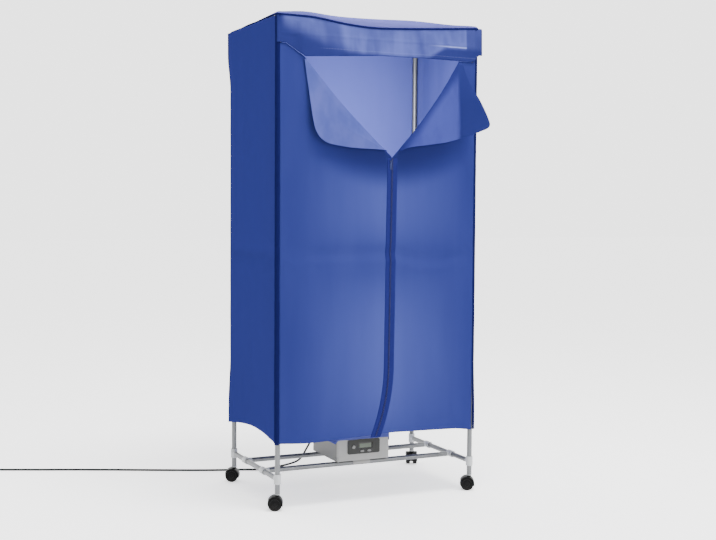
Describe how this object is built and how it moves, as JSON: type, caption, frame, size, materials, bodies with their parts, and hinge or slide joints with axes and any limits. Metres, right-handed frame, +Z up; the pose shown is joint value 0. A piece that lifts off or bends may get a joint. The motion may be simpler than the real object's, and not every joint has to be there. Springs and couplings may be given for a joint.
{
  "type": "portable electric drying cabinet",
  "caption": "Wheeled tube frame in a zipped cloth cover with its front corners folded open, a hanging rail inside, and a box fan heater under the cover's floor with a mains cord.",
  "frame": {"origin": "point on the floor midway between the four posts", "axes": "+X to the right seen from the front, +Y to the back, +Z up"},
  "size_m": [1.5505, 0.994, 1.5177],
  "materials": {
    "tube_steel": "satin powder-like silver coating on round steel tube",
    "connector_plastic": "moulded light grey",
    "caster_plastic": "moulded black, slightly shiny",
    "caster_wheel": "moulded black nylon, worn at the tread",
    "caster_steel": "bright turned steel",
    "cover_fabric": "thin coated nylon, royal blue outside and pale inside",
    "lining_fabric": "the pale inner side of the same cloth, folded out",
    "piping_fabric": "woven navy tape",
    "zip_metal": "die-cast, polished",
    "heater_shell": "light grey, fine grain",
    "dark_plastic": "dark grey, fine grain",
    "display_glass": "clear window over a grey-green display",
    "button_plastic": "mid grey",
    "motor_steel": "zinc plated can",
    "screw_steel": "zinc plated",
    "element_aluminium": "bare fins",
    "board_plastic": "green laminate",
    "cord_rubber": "matte black",
    "plug_plastic": "moulded black"
  },
  "bodies": {
    "frame": {"lower_posts": "tube_steel", "upper_posts": "tube_steel", "base_side_bars": "tube_steel", "base_cross_bars": "tube_steel", "tee_connectors": "connector_plastic", "mid_connectors": "connector_plastic", "mid_side_bars": "tube_steel", "mid_long_bars": "tube_steel", "top_connectors": "connector_plastic", "top_side_bars": "tube_steel", "top_long_bars": "tube_steel", "hanging_rail": "tube_steel", "rail_brackets": "connector_plastic", "caster_sockets": "connector_plastic", "cover_left_panel": "cover_fabric", "cover_right_panel": "cover_fabric", "cover_back_panel": "cover_fabric", "cover_roof": "cover_fabric", "cover_floor": "cover_fabric", "header_flap": "cover_fabric", "corner_piping": "piping_fabric", "saddle_clips": "heater_shell", "heater_base": "heater_shell", "heater_housing": "heater_shell", "housing_screws": "screw_steel", "outlet_grille": "dark_plastic", "fan_motor": "motor_steel", "heating_element": "element_aluminium", "front_fascia": "dark_plastic", "display_window": "display_glass", "control_board": "board_plastic", "strain_relief": "cord_rubber", "power_cord": "cord_rubber", "cord_coil": "cord_rubber", "mains_plug": "plug_plastic"},
    "door_left": {"front_panel_left": "cover_fabric", "zip_tape_left": "piping_fabric"},
    "door_right": {"front_panel_right": "cover_fabric", "zip_tape_right": "piping_fabric"},
    "left_lapel": {"lapel_left": "lining_fabric"},
    "right_lapel": {"lapel_right": "lining_fabric"},
    "slider": {"zip_slider": "zip_metal"},
    "pull": {"zip_pull": "zip_metal"},
    "caster_front_left": {"caster_hood_front_left": "caster_plastic", "caster_pins_front_left": "caster_steel"},
    "wheels_front_left": {"caster_wheels_front_left": "caster_wheel"},
    "caster_front_right": {"caster_hood_front_right": "caster_plastic", "caster_pins_front_right": "caster_steel"},
    "wheels_front_right": {"caster_wheels_front_right": "caster_wheel"},
    "caster_rear_left": {"caster_hood_rear_left": "caster_plastic", "caster_pins_rear_left": "caster_steel"},
    "wheels_rear_left": {"caster_wheels_rear_left": "caster_wheel"},
    "caster_rear_right": {"caster_hood_rear_right": "caster_plastic", "caster_pins_rear_right": "caster_steel"},
    "wheels_rear_right": {"caster_wheels_rear_right": "caster_wheel"},
    "fan": {"fan_impeller": "dark_plastic"},
    "power_key": {"power_button": "button_plastic"},
    "timer_key": {"timer_button": "button_plastic"},
    "mode_key": {"mode_button": "button_plastic"}
  },
  "joints": [
    {"name": "front_left_swing", "type": "hinge", "parent": "frame", "child": "door_left", "pos_m": [-0.3347, -0.2162, 0.8], "axis": [0, 0, -1], "range_deg": [0, 110]},
    {"name": "front_right_swing", "type": "hinge", "parent": "frame", "child": "door_right", "pos_m": [0.3347, -0.2162, 0.8], "axis": [0, 0, 1], "range_deg": [0, 110]},
    {"name": "left_lapel_fold", "type": "hinge", "parent": "door_left", "child": "left_lapel", "pos_m": [0.0355, -0.2178, 1.078], "axis": [-0.7118, -0.0041, 0.7024], "range_deg": [0, 160]},
    {"name": "right_lapel_fold", "type": "hinge", "parent": "door_right", "child": "right_lapel", "pos_m": [0.0415, -0.2178, 1.078], "axis": [-0.606, 0.0042, -0.7955], "range_deg": [0, 140]},
    {"name": "zip_slide", "type": "slide", "parent": "door_left", "child": "slider", "axis": [-0.0115, 0, -0.9999], "range_m": [0, 0.64]},
    {"name": "zip_pull_swing", "type": "hinge", "parent": "slider", "child": "pull", "pos_m": [0.0336, -0.2227, 1.066], "axis": [-1, 0, 0], "range_deg": [0, 140]},
    {"name": "swivel_front_left", "type": "hinge", "parent": "frame", "child": "caster_front_left", "pos_m": [-0.335, -0.2065, 0.05], "axis": [0, 0, 1], "continuous": true},
    {"name": "roll_front_left", "type": "hinge", "parent": "caster_front_left", "child": "wheels_front_left", "pos_m": [-0.34149, -0.20388, 0.021], "axis": [-0.3746, -0.9272, 0], "continuous": true},
    {"name": "swivel_front_right", "type": "hinge", "parent": "frame", "child": "caster_front_right", "pos_m": [0.335, -0.2065, 0.05], "axis": [0, 0, 1], "continuous": true},
    {"name": "roll_front_right", "type": "hinge", "parent": "caster_front_right", "child": "wheels_front_right", "pos_m": [0.32882, -0.20321, 0.021], "axis": [-0.4695, -0.8829, 0], "continuous": true},
    {"name": "swivel_rear_left", "type": "hinge", "parent": "frame", "child": "caster_rear_left", "pos_m": [-0.335, 0.2065, 0.05], "axis": [0, 0, 1], "continuous": true},
    {"name": "roll_rear_left", "type": "hinge", "parent": "caster_rear_left", "child": "wheels_rear_left", "pos_m": [-0.34134, 0.20946, 0.021], "axis": [-0.4226, -0.9063, 0], "continuous": true},
    {"name": "swivel_rear_right", "type": "hinge", "parent": "frame", "child": "caster_rear_right", "pos_m": [0.335, 0.2065, 0.05], "axis": [0, 0, 1], "continuous": true},
    {"name": "roll_rear_right", "type": "hinge", "parent": "caster_rear_right", "child": "wheels_rear_right", "pos_m": [0.33762, 0.21299, 0.021], "axis": [-0.9272, 0.3746, 0], "continuous": true},
    {"name": "fan_spin", "type": "hinge", "parent": "frame", "child": "fan", "pos_m": [0, 0, 0.15], "axis": [0, 0, 1], "continuous": true},
    {"name": "power_press", "type": "slide", "parent": "frame", "child": "power_key", "axis": [0, 1, 0], "range_m": [0, 0.0012], "stiffness_N_per_m": 300},
    {"name": "timer_press", "type": "slide", "parent": "frame", "child": "timer_key", "axis": [0, 1, 0], "range_m": [0, 0.0012], "stiffness_N_per_m": 300},
    {"name": "mode_press", "type": "slide", "parent": "frame", "child": "mode_key", "axis": [0, 1, 0], "range_m": [0, 0.0012], "stiffness_N_per_m": 300}
  ]
}
